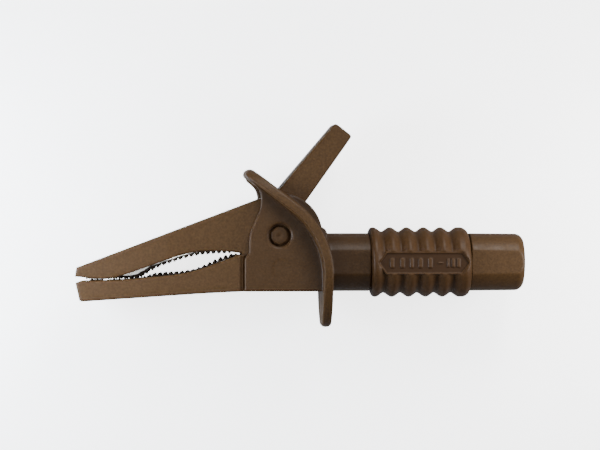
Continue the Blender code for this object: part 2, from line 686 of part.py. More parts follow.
def panel_outline(inset):
    """The name panel's outline without a name: a long plate with pointed ends."""
    x0, x1, half = PANEL_X[0] + inset * 1.3, PANEL_X[1] - inset * 1.3, PANEL_HALF_HEIGHT - inset
    shoulder = 1.5
    upper = [(x1 - shoulder, half), (x0 + shoulder, half)]
    lower = [(x0 + shoulder, -half), (x1 - shoulder, -half)]
    outline = [(x1, 0), *upper, (x0, 0), *lower]
    return [(x, y + BARREL_AXIS_Y) for x, y in outline]


def grip_sleeve(plastic):
    steps = 36
    ribs = [SLEEVE_X[0] + (SLEEVE_X[1] - SLEEVE_X[0]) * i / steps for i in range(steps + 1)]
    profile = [(x, rib_radius(x)) for x in ribs]
    profile = [(SLEEVE_X[0], SLEEVE_BORE_R), *profile, (SLEEVE_X[1], SLEEVE_BORE_R)]
    sleeve = turned("grip_sleeve", profile, 40, at=(0, BARREL_AXIS_Y, 0))
    for side, name in ((1, "near"), (-1, "far")):
        low, face, high = sorted((side * 5.2, side * PANEL_Z)), side * PANEL_Z, side * 8
        join(sleeve, prism(f"panel_{name}", panel_outline(0), *low))
        cut(sleeve, prism(f"panel_top_{name}", panel_outline(-0.05), *sorted((face, high))))
        field_heights = sorted((side * (PANEL_Z - 0.2), high))
        cut(sleeve, prism(f"panel_field_{name}", panel_outline(0.35), *field_heights))
    return finish(sleeve, plastic)


# ---------------------------------------------------------------- assembly


def empty(name, parent=None):
    made = bpy.data.objects.new(name, None)
    made.parent = parent
    bpy.context.scene.collection.objects.link(made)
    return made


def centre_on_origin(assembly, pieces):
    """Moves the assembly so that its plan box is centred on the origin and it stands on Z = 0."""
    bpy.context.view_layer.update()
    graph = bpy.context.evaluated_depsgraph_get()
    corners = []
    for piece in pieces:
        evaluated = piece.evaluated_get(graph)
        mesh = evaluated.to_mesh()
        corners += [evaluated.matrix_world @ v.co for v in mesh.vertices]
        evaluated.to_mesh_clear()
    low = [min(c[k] for c in corners) for k in range(3)]
    high = [max(c[k] for c in corners) for k in range(3)]
    assembly.location = (-(low[0] + high[0]) / 2, -(low[1] + high[1]) / 2, -low[2])


def main():
    clear_scene()
    brown = material("brown_plastic", (0.082, 0.044, 0.021), 0.45)
    grip = material("brown_grip", (0.078, 0.041, 0.019), 0.5)
    white = material("natural_nylon", (0.62, 0.58, 0.5), 0.5)
    nickel = material("nickel_plate", (0.72, 0.7, 0.66), 0.25, 1.0)
    steel = material("spring_steel", (0.5, 0.5, 0.5), 0.3, 1.0)
    fixed = [
        pivot_housing(brown), lower_jaw_shell(brown), lower_jaw_blade(nickel), blade_screw(steel),
        socket_barrel(brown), grip_sleeve(grip), socket_post(brown), socket_contact(nickel),
        lock_washer(steel), tail_rivet("tail_rivet_front", RIVET_X[0], nickel),
        tail_rivet("tail_rivet_rear", RIVET_X[1], nickel),
        pivot_pin(steel), pivot_cap("pivot_cap_near", 1, brown), pivot_cap("pivot_cap_far", -1, brown),
        spring_bush(white), torsion_spring(steel),
    ]
    moving = [lever_shell(brown), upper_jaw_blade(nickel), upper_blade_screw(steel)]
    assembly = empty("clip_assembly")
    lever = empty("lever_pivot", assembly)
    for obj in bpy.data.objects:
        if obj.type != "EMPTY":
            obj.parent = lever if obj in moving else assembly
    centre_on_origin(assembly, fixed + moving)


main()
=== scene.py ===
"""An insulated crocodile clip, modelled and lit for a close view from above its side.

Shapes are worked out in millimetres in the clip's own design frame, with the pivot at the origin, +X towards
the socket, +Y towards the thumb lever and +Z along the pivot. Each moulded piece is a distance function:
a formula that is negative inside the plastic. Blended joins and rounded edges come out of it directly.
"""

import json
import math

import bmesh
import bpy
import numpy as np
from mathutils import Matrix, Vector


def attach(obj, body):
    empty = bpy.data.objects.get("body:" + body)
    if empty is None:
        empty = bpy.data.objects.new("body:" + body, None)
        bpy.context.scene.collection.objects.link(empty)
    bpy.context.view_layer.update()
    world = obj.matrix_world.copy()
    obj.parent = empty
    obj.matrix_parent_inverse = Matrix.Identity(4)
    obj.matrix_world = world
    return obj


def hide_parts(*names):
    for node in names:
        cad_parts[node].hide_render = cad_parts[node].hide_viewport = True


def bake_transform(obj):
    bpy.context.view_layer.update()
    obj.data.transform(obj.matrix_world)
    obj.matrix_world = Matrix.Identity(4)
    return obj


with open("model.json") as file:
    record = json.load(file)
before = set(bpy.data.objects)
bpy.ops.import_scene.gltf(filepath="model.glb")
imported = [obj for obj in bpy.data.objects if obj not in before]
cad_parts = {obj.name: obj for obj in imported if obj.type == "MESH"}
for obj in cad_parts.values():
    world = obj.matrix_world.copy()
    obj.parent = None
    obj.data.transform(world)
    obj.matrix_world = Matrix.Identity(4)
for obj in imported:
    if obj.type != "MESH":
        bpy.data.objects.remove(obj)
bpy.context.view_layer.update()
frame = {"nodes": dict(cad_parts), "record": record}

MM = 0.001
PIVOT = Vector(frame["record"]["behaviour"]["joints"][0]["pos_m"])
HOUSING, LEVER = "housing", "jaw_lever"

# Driving dimensions, in millimetres
AXIS_Y = -4.87  # the barrel's axis
BARREL_R = 5.32
BARREL_FLAT = 4.86
BARREL_END_X = 45.36
TIP_X = -37.05
CHEEK_OUT, CHEEK_IN, CHEEK_R = 5.8, 4.5, 7.8
LEVER_OUT, LEVER_IN = 4.2, 3.1
HUB_R, HUB_BORE_R = 7.55, 6.4
WALL = 1.2
BOSS_PAINTED_SHADE = 0.45  # share of painted shade on the pivot bosses, for the shade in their recesses
WIRE_R, COIL_R, COIL_PITCH, COIL_TURNS = 0.4, 2.0, 0.85, 3
SPRING_LEG_ANGLE, SPRING_FOOT_ANGLE = 57.5, -57.0
JOINT_X, JAW_REAR_X = -6.45, -7.15  # the two sides of the groove behind the lower jaw
BEND_X = -20.3
HOUSING_REAR_X = 8.7
BOTTOM_Y = AXIS_Y - 5.28
GUARD_T, GUARD_HALF_WIDTH = 1.75, 8.0
GUARD_CENTRE, GUARD_R, GUARD_TURN = (-7.2, -7.5), 16.0, 52.0
GUARD_TOP_LENGTH, GUARD_BOTTOM_Y = 10.05, -16.05
LEVER_TIP_LEFT, LEVER_TIP_RIGHT = (10.3, 20.58), (13.35, 18.22)
LEVER_ROOT_LEFT, LEVER_ROOT_RIGHT = (-0.85, 7.5), (4.7, 6.0)
SLEEVE_X = (16.9, 35.2)
RIB_FIRST_X, RIB_PITCH, RIB_COUNT = 17.7, 3.12, 6
RIB_CREST_R, RIB_VALLEY_R, SLEEVE_BORE_R = 6.42, 5.64, 4.85
SLEEVE_LEAN = 0.031  # the sleeve's rings lean this much, in mm per mm
PANEL_X, PANEL_Y, PANEL_HALF_HEIGHT, PANEL_Z = (17.9, 34.95), -4.97, 2.05, 5.95
PANEL_BORDER, PANEL_DEPTH = 0.26, 0.24
PANEL_BARS = (
    (20.5, 0.38, 0.9), (22.4, 0.38, 0.9), (24.1, 0.3, 0.9), (25.7, 0.38, 0.9), (27.5, 0.38, 0.9),
    (29.4, 0.5, 0.12), (30.8, 0.2, 0.8), (31.7, 0.3, 0.8), (32.7, 0.3, 0.8),
)  # centre along X, half width and half height
TUBE_STEP_X, TUBE_END_X, WAIST_R, TUBE_BORE_R = 16.8, 20.0, 4.75, 4.1
RECESS_R, RECESS_FLOOR_Z = 2.03, 4.78
SHEET = 0.5  # thickness of the stamped blades
FIT = 0.1  # gap between pieces that lie against each other
TOOTH_PITCH, TOOTH_DEPTH = 1.0, 0.58
TOOTH_TIP_HALF, GULLET_HALF = 0.13, 0.08  # half widths of a tooth's blunt tip and of the gap's floor
PIN_R = 1.0
BLADE_FRONT_X, REAR_TOOTH_X = -34.4, -6.5
EDGE = 0.3  # rounding of a moulded edge
FLOOR_GLOW, REFLECTED_GLOW = 3.2, 0.4  # of the lit floor, and of the sheet that only gloss sees
SURROUNDINGS = 0.08  # strength of the light from all round


# Colours, linear: a pair is the darkest and the lightest of a grain
BODY_BROWNS = ((0.044, 0.0218, 0.0074), (0.064, 0.033, 0.0118))
GRIP_BROWNS = ((0.041, 0.0192, 0.0063), (0.055, 0.0264, 0.009))
NATURAL_NYLONS = ((0.6, 0.56, 0.48), (0.66, 0.62, 0.54))
# The cheek colour is painted shade, for the cheeks and the bosses; the panel colour is the panel field's own.
CHEEK_PAINTED_SHADE, PANEL_BROWN = (0.021, 0.0094, 0.003), (0.031, 0.0135, 0.004)
# The last colour here is painted shade for the blade teeth.
NICKEL, BRIGHT_NICKEL, TEETH_PAINTED_SHADE = (0.86, 0.84, 0.8), (0.95, 0.94, 0.9), (0.014, 0.01, 0.007)
STEEL = (0.5, 0.5, 0.51)
PAPER = ((0.86, 0.86, 0.86), (0.9, 0.9, 0.9))


# ---------------------------------------------------------------- plane geometry


def polar(radius, degrees, centre=(0.0, 0.0)):
    """The point at that distance and angle from a centre."""
    angle = math.radians(degrees)
    return (centre[0] + radius * math.cos(angle), centre[1] + radius * math.sin(angle))


def arc(centre, radius, start, end, steps):
    """Points along an arc, from one angle to another."""
    return [polar(radius, start + (end - start) * i / steps, centre) for i in range(steps + 1)]


def bezier(p0, p1, p2, p3, steps):
    """Points along a cubic curve with two end points and two handles."""
    points = []
    for i in range(steps + 1):
        t = i / steps
        weights = ((1 - t) ** 3, 3 * t * (1 - t) ** 2, 3 * t**2 * (1 - t), t**3)
        points.append(tuple(sum(w * p[k] for w, p in zip(weights, (p0, p1, p2, p3))) for k in (0, 1)))
    return points


def along(start, end, distance, aside=0.0):
    """The point that distance from start towards end, and then aside to the left of that direction."""
    length = math.dist(start, end)
    ux, uy = (end[0] - start[0]) / length, (end[1] - start[1]) / length
    return (start[0] + ux * distance - uy * aside, start[1] + uy * distance + ux * aside)


# ---------------------------------------------------------------- distance functions


def smooth_min(a, b, k):
    """The lesser of two distances, blended over about k millimetres."""
    h = np.maximum(k - np.abs(a - b), 0) / k
    return np.minimum(a, b) - h * h * k / 4


def smooth_max(a, b, k):
    """The greater of two distances, blended in the same way."""
    return -smooth_min(-a, -b, k)


def unite(k, *parts):
    """All the parts as one, with fillets of about k millimetres."""
    made = parts[0]
    for part in parts[1:]:
        made = smooth_min(made, part, k)
    return made


def carve(k, body, *tools):
    """The body with the tools cut out of it."""
    for tool in tools:
        body = smooth_max(body, -tool, k)
    return body


def segment(x, y, a, b):
    """Distance to a line segment."""
    ex, ey = b[0] - a[0], b[1] - a[1]
    px, py = x - a[0], y - a[1]
    t = np.clip((px * ex + py * ey) / (ex * ex + ey * ey), 0, 1)
    return np.hypot(px - ex * t, py - ey * t)


def polyline(x, y, points):
    """Distance to an open line through the points."""
    made = segment(x, y, points[0], points[1])
    for a, b in zip(points[1:], points[2:]):
        made = np.minimum(made, segment(x, y, a, b))
    return made


def polygon(x, y, points):
    """Signed distance to a closed outline, negative inside."""
    inside = False
    made = None
    for a, b in zip(points, points[1:] + points[:1]):
        far = segment(x, y, a, b)
        made = far if made is None else np.minimum(made, far)
        if a[1] != b[1]:
            crosses = (a[1] > y) != (b[1] > y)
            inside = inside ^ (crosses & (x < (b[0] - a[0]) * (y - a[1]) / (b[1] - a[1]) + a[0]))
    return np.where(inside, -made, made)


def rounded(outline, cap, radius):
    """The space inside both an outline and a cap, with a rounded edge between them."""
    a, b = outline + radius, cap + radius
    return np.minimum(np.maximum(a, b), 0) + np.hypot(np.maximum(a, 0), np.maximum(b, 0)) - radius


def plate(x, y, z, points, half, radius=EDGE):
    """An outline with that half thickness on each side of the middle plane."""
    return rounded(polygon(x, y, points), np.abs(z) - half, radius)


def tube(x, y, z, radius, low, high, edge=EDGE):
    """A round bar on the barrel's axis."""
    return rounded(np.hypot(y - AXIS_Y, z) - radius, np.abs(x - (low + high) / 2) - (high - low) / 2, edge)


def pin(x, y, z, radius, low, high, edge=0.05):
    """A round bar on the pivot's axis."""
    return rounded(np.hypot(x, y) - radius, np.abs(z - (low + high) / 2) - (high - low) / 2, edge)


# ---------------------------------------------------------------- meshes


def surface_net(distance, low, high, step):
    """Vertices and quads on a distance function's surface, found on a grid and then moved exactly onto it."""
    axes = [np.arange(a - 1.5 * step, b + 2.5 * step, step) for a, b in zip(low, high)]
    field = distance(*np.meshgrid(*axes, indexing="ij", sparse=True))
    inside = field < 0
    corners = [(i, j, k) for i in (0, 1) for j in (0, 1) for k in (0, 1)]
    nx, ny, nz = inside.shape

    def shifted(array, corner):
        i, j, k = corner
        return array[i : nx - 1 + i, j : ny - 1 + j, k : nz - 1 + k]

    count = sum(shifted(inside, c).astype(np.int8) for c in corners)
    cells = np.argwhere((count > 0) & (count < 8))
    value = {c: field[tuple((cells + c).T)] for c in corners}
    total, hits = np.zeros((len(cells), 3)), np.zeros(len(cells))
    for a in corners:
        for axis in range(3):
            if a[axis]:
                continue
            b = tuple(1 if n == axis else a[n] for n in range(3))
            crosses = (value[a] < 0) != (value[b] < 0)
            gap = np.where(crosses, value[a] - value[b], 1)
            place = np.tile(np.array(a, float), (len(cells), 1))
            place[:, axis] = np.where(crosses, value[a] / gap, 0)
            total += place * crosses[:, None]
            hits += crosses
    origin = np.array([axis[0] for axis in axes])
    points = origin + (cells + total / hits[:, None]) * step
    index = np.full((nx - 1, ny - 1, nz - 1), -1)
    index[tuple(cells.T)] = np.arange(len(cells))
    quads = []
    for axis in range(3):
        u, v = (axis + 1) % 3, (axis + 2) % 3
        one = np.eye(3, dtype=int)
        start = tuple(slice(0, n - 1) if m == axis else slice(1, n - 1) for m, n in enumerate(inside.shape))
        end = tuple(slice(1, n) if m == axis else slice(1, n - 1) for m, n in enumerate(inside.shape))
        edges = np.argwhere(inside[start] != inside[end]) + (1 - one[axis])
        corners = ((1, 1), (0, 1), (0, 0), (1, 0))
        ring = [index[tuple((edges - du * one[u] - dv * one[v]).T)] for du, dv in corners]
        faces = np.stack(ring, axis=1)
        outward = inside[tuple(edges.T)]
        faces[~outward] = faces[~outward][:, ::-1]
        quads.append(faces)
    return settle(distance, points, step), np.concatenate(quads)


def gradient(distance, points, reach=0.01):
    """The direction in which a distance grows, at each point."""
    made = np.empty_like(points)
    for axis in range(3):
        move = np.zeros(3)
        move[axis] = reach
        made[:, axis] = (distance(*(points + move).T) - distance(*(points - move).T)) / (2 * reach)
    return made


def settle(distance, points, step):
    """Moves grid vertices onto the surface, by no more than a grid step."""
    start = points.copy()
    for _ in range(3):
        slope = gradient(distance, points)
        size = np.maximum((slope**2).sum(axis=1), 0.05)
        points = points - slope * (distance(*points.T) / size)[:, None]
        moved = points - start
        length = np.linalg.norm(moved, axis=1)
        points = start + moved * np.minimum(1, 0.7 * step / np.maximum(length, 1e-9))[:, None]
    return points


def add(name, body, material, replaces=(), mesh=None):
    """Links a piece in the row frame. Its mesh is in design millimetres."""
    obj = bpy.data.objects.new(name, mesh)
    mesh.transform(Matrix.Translation(PIVOT) @ Matrix.Scale(MM, 4))
    bpy.context.scene.collection.objects.link(obj)
    mesh.materials.append(material)
    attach(obj, body)
    if replaces:
        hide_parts(*replaces)
    return obj


def moulded(name, body, distance, low, high, step, material, replaces=()):
    """A moulded piece from its distance function."""
    points, quads = surface_net(distance, low, high, step)
    mesh = bpy.data.meshes.new(name)
    mesh.vertices.add(len(points))
    mesh.vertices.foreach_set("co", points.astype(np.float32).ravel())
    mesh.loops.add(quads.size)
    mesh.loops.foreach_set("vertex_index", quads.astype(np.int32).ravel())
    mesh.polygons.add(len(quads))
    mesh.polygons.foreach_set("loop_start", np.arange(0, quads.size, 4, dtype=np.int32))
    mesh.update(calc_edges=True)
    mesh.validate()
    mesh.shade_smooth()
    return add(name, body, material, replaces, mesh)


def turned(name, body, profile, material, replaces=(), axis="X", centre=(0, 0, 0), sides=96):
    """A closed (along, radius) profile spun about an axis through centre."""
    bm = bmesh.new()
    place = {"X": lambda a, r: (a, r, 0), "Y": lambda a, r: (r, a, 0), "Z": lambda a, r: (r, 0, a)}[axis]
    spin = {"X": (1, 0, 0), "Y": (0, 1, 0), "Z": (0, 0, 1)}[axis]
    verts = [bm.verts.new(place(a, r)) for a, r in profile]
    edges = [bm.edges.new(pair) for pair in zip(verts, verts[1:] + verts[:1])]
    bmesh.ops.spin(bm, geom=verts + edges, axis=spin, cent=(0, 0, 0), angle=math.tau, steps=sides,
                   use_merge=True)
    bmesh.ops.remove_doubles(bm, verts=bm.verts, dist=1e-4)
    bmesh.ops.dissolve_degenerate(bm, edges=bm.edges, dist=1e-5)
    bmesh.ops.recalc_face_normals(bm, faces=bm.faces)
    bmesh.ops.translate(bm, verts=bm.verts, vec=centre)
    mesh = bpy.data.meshes.new(name)
    bm.to_mesh(mesh)
    bm.free()
    mesh.shade_smooth()
    mesh.set_sharp_from_angle(angle=math.radians(50))
    return add(name, body, material, replaces, mesh)


# ---------------------------------------------------------------- housing


def guard_line():
    """Side view of the finger guard: straight above, bent in the middle and upright below."""
    bend_top = polar(GUARD_R, GUARD_TURN, GUARD_CENTRE)
    top = polar(GUARD_TOP_LENGTH, GUARD_TURN + 90, bend_top)
    bend = arc(GUARD_CENTRE, GUARD_R, GUARD_TURN, 0, 24)
    return [top, *bend, (bend[-1][0], GUARD_BOTTOM_Y)]


def guard_oval(y, z):
    """Distance to the guard's outline seen along the barrel: an oval, squarer above than below."""
    line = guard_line()
    high, low = line[0][1] + GUARD_T / 2 + 0.2, GUARD_BOTTOM_Y - GUARD_T / 2
    half_height = (high - low) / 2
    v = (y - (high + low) / 2) / half_height
    w = np.abs(z) / GUARD_HALF_WIDTH
    power = np.where(v > 0, 3.2, 2.1)
    v = np.abs(v) + 1e-6
    w = w + 1e-6
    total = v**power + w**power
    size = total ** (1 / power)
    rise = np.hypot(v ** (power - 1) / half_height, w ** (power - 1) / GUARD_HALF_WIDTH)
    slope = size / total * rise
    return (size - 1) / slope


def guard(x, y, z):
    """The finger guard: a bent plate, cut to an oval."""
    band = polyline(x, y, guard_line()) - GUARD_T / 2
    return rounded(band, guard_oval(y, z), 0.4)


def cheek_outline():
    """Side view of the cheeks: a round back, a horn, a waved front and a flat base."""
    back = [(8.3, 1.2)] + arc((0, 0), CHEEK_R, 12, 96, 24)
    horn = bezier((-5.4, 10.05), (-4.1, 9.1), (-3.43, 8.2), (-3.43, 6.7), 8)
    wave = bezier((-3.43, 6.7), (-3.43, 3.2), (-5.64, 2.2), (-5.64, -1.5), 14)
    shoulder = bezier((-5.64, -3.0), (-5.75, -3.7), (JOINT_X, -3.6), (JOINT_X, -4.6), 5)
    base = [(JOINT_X, BOTTOM_Y), (HOUSING_REAR_X, BOTTOM_Y), (HOUSING_REAR_X, 0.38)]
    return back + [(-3.2, 9.2)] + horn + wave[1:] + shoulder + base


def lever_slot():
    """Side view of the space between the cheeks, open at the front and where the lever swings."""
    line = guard_line()
    bridge_front = polar(GUARD_T / 2, GUARD_TURN + 180, polar(2, GUARD_TURN + 90, line[0]))
    rear = HOUSING_REAR_X - 0.75
    floor_y = BOTTOM_Y + WALL
    beside = along(LEVER_ROOT_LEFT, LEVER_TIP_LEFT, 6, 0.5)
    swing = [(rear, floor_y), (rear, 0.9), (12, 4), (12, 14), beside, (-1.2, 8.2), (-3.1, 8.65)]
    return [(-10, floor_y), *swing, bridge_front, (-10, bridge_front[1])]


def recess(x, y, z):
    """The round recess in each cheek, with a chamfered mouth."""
    r, depth = np.hypot(x, y), np.abs(z)
    hole = np.maximum(r - RECESS_R, RECESS_FLOOR_Z - depth)
    mouth = (r - RECESS_R - (depth - CHEEK_OUT + 0.3)) * math.sqrt(0.5)
    return np.minimum(hole, np.maximum(mouth, CHEEK_OUT - 0.3 - depth))


def housing(x, y, z):
    """Cheeks, guard and the front of the barrel, hollowed for the lever and the contact."""
    cheeks = plate(x, y, z, cheek_outline(), CHEEK_OUT, 0.35)
    round_bar = tube(x, y, z, BARREL_R, 4.0, TUBE_STEP_X, 0.15)
    round_bar = smooth_max(round_bar, np.abs(z) - BARREL_FLAT, 0.08)
    waist = tube(x, y, z, WAIST_R, 8.0, TUBE_END_X, 0.1)
    body = unite(0.4, cheeks, np.minimum(round_bar, waist))
    body = unite(0.6, body, guard(x, y, z))
    slot = plate(x, y, z, lever_slot(), CHEEK_IN, 0.1)
    tongue_gap = plate(x, y, z, [(-10, -14), (-3.5, -14), (-3.5, -7), (-10, -7)], CHEEK_IN, 0.05)
    bore = tube(x, y, z, TUBE_BORE_R, 6.0, TUBE_END_X + 2, 0.05)
    ejector_mark = pin(x - 0.3, y + 6, z, 1.7, CHEEK_OUT - 0.06, 9)
    return carve(0.08, carve(0.25, body, slot, tongue_gap, bore, recess(x, y, z)), ejector_mark)


# ---------------------------------------------------------------- lower jaw


def jaw_half_width(x):
    """Half width of the upper jaw, tapering ahead of its bend."""
    return np.interp(x, (TIP_X - 1, BEND_X), (2.4, LEVER_OUT))


def jaw_room(x):
    """Half width of the trough inside each jaw."""
    return np.interp(x, (-35.6, BEND_X, -8), (1.6, 3.02, 3.1))


def lower_jaw_outline():
    """Side view of the lower jaw, with its hollowed top edge."""
    hollow = bezier((-12.8, -5.5), (-15.2, -6.4), (-17.6, -6.95), (-20.1, -7.22), 8)
    top = [(JAW_REAR_X, -3.4), *hollow, (-29.0, -8.05), (-35.8, -8.2), (TIP_X, -8.65)]
    bottom = [(-36.35, -11.7), (-35.9, -12.0), (-14.3, -10.52), (JAW_REAR_X, BOTTOM_Y)]
    return top + bottom


def lower_jaw(x, y, z):
    """The lower jaw: a trough for its blade, with a tongue into the housing."""
    half = np.interp(x, (TIP_X - 1, JAW_REAR_X + 1), (2.4, 5.65))
    jaw = rounded(polygon(x, y, lower_jaw_outline()), np.abs(z) - half, EDGE)
    tongue = [(-9, BOTTOM_Y), (-3.6, BOTTOM_Y), (-3.6, -7.25), (-5.6, -5.9), (JAW_REAR_X, -4.6), (-9, -4.6)]
    groove_low, groove_rear = BOTTOM_Y + 0.1, JOINT_X - 0.05
    groove = [(-8, groove_low), (groove_rear, groove_low), (groove_rear, -3.5), (-8, -3.5)]
    groove_floor = np.maximum(plate(x, y, z, groove, 5.2, 0.05), CHEEK_IN - np.abs(z))
    body = unite(0.1, jaw, groove_floor, plate(x, y, z, tongue, CHEEK_IN - 0.1, 0.1))
    floor = [(-35.7, -11.99), (-14.3, -10.52), (JAW_REAR_X, BOTTOM_Y), (-2, BOTTOM_Y)]
    floor = [(px, py + WALL) for px, py in floor]
    trough = rounded(polygon(x, y, floor + [(-2, 2), (-35.7, 2)]), np.abs(z) - jaw_room(x), 0.05)
    return carve(0.2, body, trough)


# ---------------------------------------------------------------- lever moulding


def jaw_back():
    """The straight back of the upper jaw: its end at the tip, its end on the hub, and that end's angle."""
    tip = (TIP_X + 0.15, -5.85)
    angle = math.degrees(math.atan2(tip[1], tip[0])) + 360
    touch_angle = angle - math.degrees(math.acos(HUB_R / math.hypot(*tip)))
    return tip, polar(HUB_R, touch_angle), touch_angle


def lever_outline():
    """Side view of the upper jaw, the hub and the thumb lever."""
    tip, _, touch_angle = jaw_back()
    root_left = math.degrees(math.atan2(LEVER_ROOT_LEFT[1], LEVER_ROOT_LEFT[0]))
    root_right = math.degrees(math.atan2(LEVER_ROOT_RIGHT[1], LEVER_ROOT_RIGHT[0]))
    nose = [(TIP_X - 0.1, -7.45), (-35.6, -7.57), (-34.2, -7.84)]
    nose += [(-31.8, -7.88), (-30.0, -7.68), (-28.1, -7.1)]
    roof = bezier((-18.9, -3.84), (-15.9, -2.75), (-12.2, -2.5), (-8.2, -3.02), 10)
    hub = arc((0, 0), HUB_R, -155, root_right, 36)
    end_left = bezier(along(LEVER_TIP_LEFT, LEVER_ROOT_LEFT, 0.9), LEVER_TIP_LEFT, LEVER_TIP_LEFT,
                      along(LEVER_TIP_LEFT, LEVER_TIP_RIGHT, 0.9), 5)
    end_right = bezier(along(LEVER_TIP_RIGHT, LEVER_TIP_LEFT, 1.1), LEVER_TIP_RIGHT, LEVER_TIP_RIGHT,
                       along(LEVER_TIP_RIGHT, LEVER_ROOT_RIGHT, 1.1), 5)
    back = arc((0, 0), HUB_R, root_left, touch_angle, 8)
    return nose + roof + hub + end_right[::-1] + end_left[::-1] + back + [tip]


def lever_channel():
    """Side view of the lever's hollow, open towards the barrel."""
    low = along(LEVER_ROOT_LEFT, LEVER_TIP_LEFT, -1.2, -1.3)
    high = along(LEVER_TIP_LEFT, LEVER_ROOT_LEFT, 1.3, 1.3)
    right = along(LEVER_TIP_RIGHT, LEVER_ROOT_RIGHT, 1.3, -1.0)
    root = along(LEVER_ROOT_RIGHT, LEVER_TIP_RIGHT, 1.7, -1.0)
    return [low, (2.6, 5.2), root, (right[0] + 1.6, right[1] - 1.1), high]


def lever_moulding(x, y, z):
    """The upper jaw and thumb lever, hollowed for the blade, the spring and the pin."""
    half = jaw_half_width(x)
    body = rounded(polygon(x, y, lever_outline()), np.abs(z) - half, EDGE)
    tip, touch, _ = jaw_back()
    front = along(tip, touch, 1.25, -WALL)
    rear = along(tip, touch, math.dist(tip, touch) - 2.2, -WALL)
    inside = polygon(x, y, [(front[0], -14), (-4.6, -14), rear, front])
    trough = rounded(inside, np.abs(z) - jaw_room(x), 0.05)
    hub_space = arc((0, 0), HUB_BORE_R, -20, 205, 30) + arc((0, 0), 10, 205, 340, 10)
    hub = plate(x, y, z, hub_space, LEVER_IN, 0.05)
    channel = plate(x, y, z, lever_channel(), LEVER_IN - 0.1, 0.1)
    return carve(0.2, body, trough, hub, channel, pin(x, y, z, 1.1, -9, 9))


# ---------------------------------------------------------------- stamped blades

LOWER_TEETH = (
    (-35.6, -8.0), (-25.8, -7.98), (-24.6, -7.45), (-22.6, -6.8), (-20.6, -6.62), (-18.0, -6.5),
    (-15.2, -6.1), (-13.4, -5.35), (-11.5, -4.4), (-9.8, -3.65), (-8.0, -3.22), (-6.5, -3.1),
)
UPPER_TEETH = (
    (-35.6, -7.94), (-25.8, -7.94), (-24.6, -7.35), (-23.5, -6.55), (-21.6, -5.6), (-18.0, -4.38),
    (-16.1, -3.85), (-14.3, -3.5), (-11.5, -3.28), (-9.5, -3.22), (-8.0, -3.18),
)


def tip_line(x, table):
    """Height of the tooth tips along a blade."""
    return np.interp(x, [p[0] for p in table], [p[1] for p in table])


def saw(table, front_x, rear_x, outward, phase):
    """A saw edge whose tips follow a table's line; outward is +1 for tips above."""
    points = []
    for i in range(int((rear_x - front_x - phase) / TOOTH_PITCH)):
        x = front_x + phase + i * TOOTH_PITCH
        gullet_x = x + TOOTH_PITCH / 2
        tip_y = float(tip_line(x, table))
        gullet_y = float(tip_line(gullet_x, table)) - outward * TOOTH_DEPTH
        points += [(x - TOOTH_TIP_HALF, tip_y), (x + TOOTH_TIP_HALF, tip_y)]
        points += [(gullet_x - GULLET_HALF, gullet_y), (gullet_x + GULLET_HALF, gullet_y)]
    return points


def channel(x, y, z, near_side, far_side, web):
    """A stamped channel: two toothed walls whose teeth are half a pitch apart, and a web."""
    half = jaw_room(x) - FIT
    side = np.where(z > 0, polygon(x, y, near_side), polygon(x, y, far_side))
    walls = rounded(side, np.abs(np.abs(z) - half + SHEET / 2) - SHEET / 2, 0.08)
    back = rounded(np.maximum(polygon(x, y, web), side), np.abs(z) - half, 0.08)
    return smooth_min(walls, back, 0.3)


def strip(points, thickness):
    """Side view of a bent strip: the points are its lower face."""
    upper = []
    for i, point in enumerate(points):
        ahead, behind = points[min(i + 1, len(points) - 1)], points[max(i - 1, 0)]
        angle = math.degrees(math.atan2(ahead[1] - behind[1], ahead[0] - behind[0]))
        upper.append(polar(thickness, angle + 90, point))
    return points + upper[::-1]


def lower_blade(x, y, z):
    """The lower blade, with contact pads ahead of its teeth and a tail to the socket."""
    base = WALL + FIT
    floor = [(BLADE_FRONT_X, -11.97 + base), (-14.3, -10.52 + base), (REAR_TOOTH_X, BOTTOM_Y + base)]
    sides = []
    pads = [(BLADE_FRONT_X, -8.5), (BLADE_FRONT_X, -7.96), (-32.0, -7.96), (-31.8, -8.4)]
    pads += [(-31.0, -8.4), (-30.8, -7.96), (-28.6, -7.96), (-28.4, -8.5)]
    for phase in (0, TOOTH_PITCH / 2):
        teeth = saw(LOWER_TEETH, -27.9, REAR_TOOTH_X, 1, phase)
        sides.append(floor + [(REAR_TOOTH_X, -3.3)] + teeth[::-1] + pads[::-1])
    web = strip(floor, SHEET)
    tail_y, end_y = BOTTOM_Y + WALL + FIT, AXIS_Y - 0.5 - FIT - SHEET
    tail_strip = strip([(-8.4, tail_y), (4.4, tail_y), (8.9, end_y), (13.8, end_y)], SHEET)
    tail = plate(x, y, z, tail_strip, 1.8, 0.08)
    return smooth_min(channel(x, y, z, *sides, web), tail, 0.3)


def upper_blade(x, y, z):
    """The upper blade, with two ears on the pivot pin."""
    tip, touch, _ = jaw_back()
    front, rear = (along(tip, touch, reach, -WALL - FIT) for reach in (1.5, math.dist(tip, touch) - 5.4))
    ear = arc((0, 0), 2.4, 120, -120, 16)
    sides = []
    for phase in (0, TOOTH_PITCH / 2):
        teeth = saw(UPPER_TEETH, front[0], -7.6, -1, phase)
        sides.append(teeth + [(-7.4, -2.9)] + ear[::-1] + [rear, front])
    web = [front, along(rear, front, 1.5), along(rear, front, 1.5, SHEET), along(front, rear, 0, -SHEET)]
    return carve(0.1, channel(x, y, z, *sides, web), pin(x, y, z, PIN_R + FIT, -9, 9))


def design_points(obj):
    """A piece's vertices in design millimetres, as x, y and z arrays."""
    points = np.empty(len(obj.data.vertices) * 3, np.float32)
    obj.data.vertices.foreach_get("co", points)
    return ((points.reshape(-1, 3) - np.array(PIVOT)) / MM).T


def mark(obj, name, values):
    """Stores a number for each vertex, which a material reads as a second colour's share."""
    obj.data.attributes.new(name, "FLOAT", "POINT").data.foreach_set("value", values.astype(np.float32))


